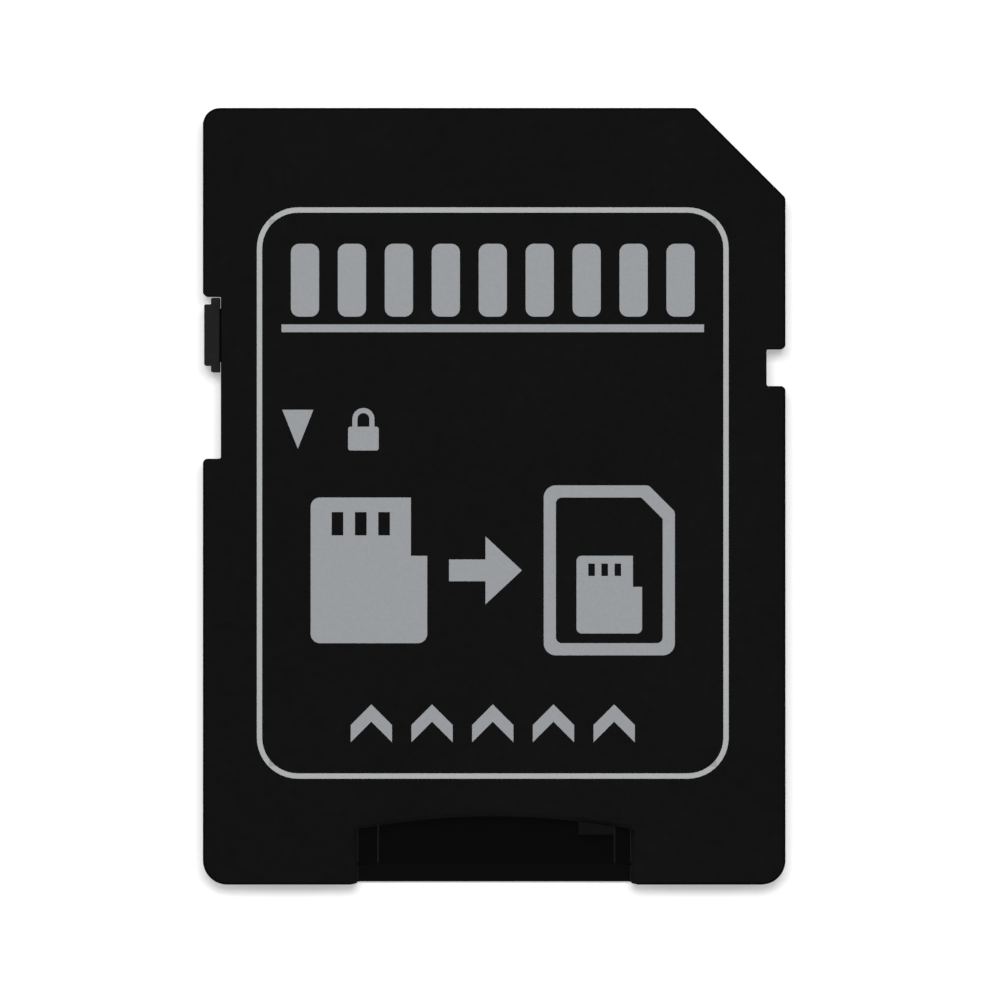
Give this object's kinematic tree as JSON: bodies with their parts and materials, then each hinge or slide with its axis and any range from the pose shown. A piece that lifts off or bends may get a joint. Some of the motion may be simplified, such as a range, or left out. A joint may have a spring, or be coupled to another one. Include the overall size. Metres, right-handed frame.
{
  "type": "memory card adapter",
  "caption": "Flat black adapter, as a full-size memory card, with a mouth for a small card, a sliding lock tab, gold contact pads on the back and a printed panel on the front.",
  "frame": {"origin": "middle of the back face, the face with the contacts, below the middle of the body's outline", "axes": "+X across the width towards the slanted corner, +Y towards the contact end, +Z out of the label face"},
  "size_m": [0.024, 0.032, 0.0021],
  "materials": {
    "shell_plastic": "fine spark-eroded moulding, black",
    "slider_plastic": "smooth moulding, dark grey",
    "carrier_plastic": "glass-filled moulding, dark grey",
    "gold_contacts": "gold-plated copper alloy strip",
    "panel_ink": "pad-printed grey ink"
  },
  "bodies": {
    "adapter": {"front_cover": "shell_plastic", "back_shell": "shell_plastic", "lead_carrier": "carrier_plastic", "contact_data_2": "gold_contacts", "contact_data_3": "gold_contacts", "contact_command": "gold_contacts", "contact_supply": "gold_contacts", "contact_clock": "gold_contacts", "contact_ground": "gold_contacts", "contact_data_0": "gold_contacts", "contact_data_1": "gold_contacts", "front_print": "panel_ink"},
    "slider": {"lock_slider": "slider_plastic"}
  },
  "joints": [
    {"name": "lock_slide", "type": "slide", "parent": "adapter", "child": "slider", "axis": [0, -1, 0], "range_m": [0, 0.0035]}
  ]
}
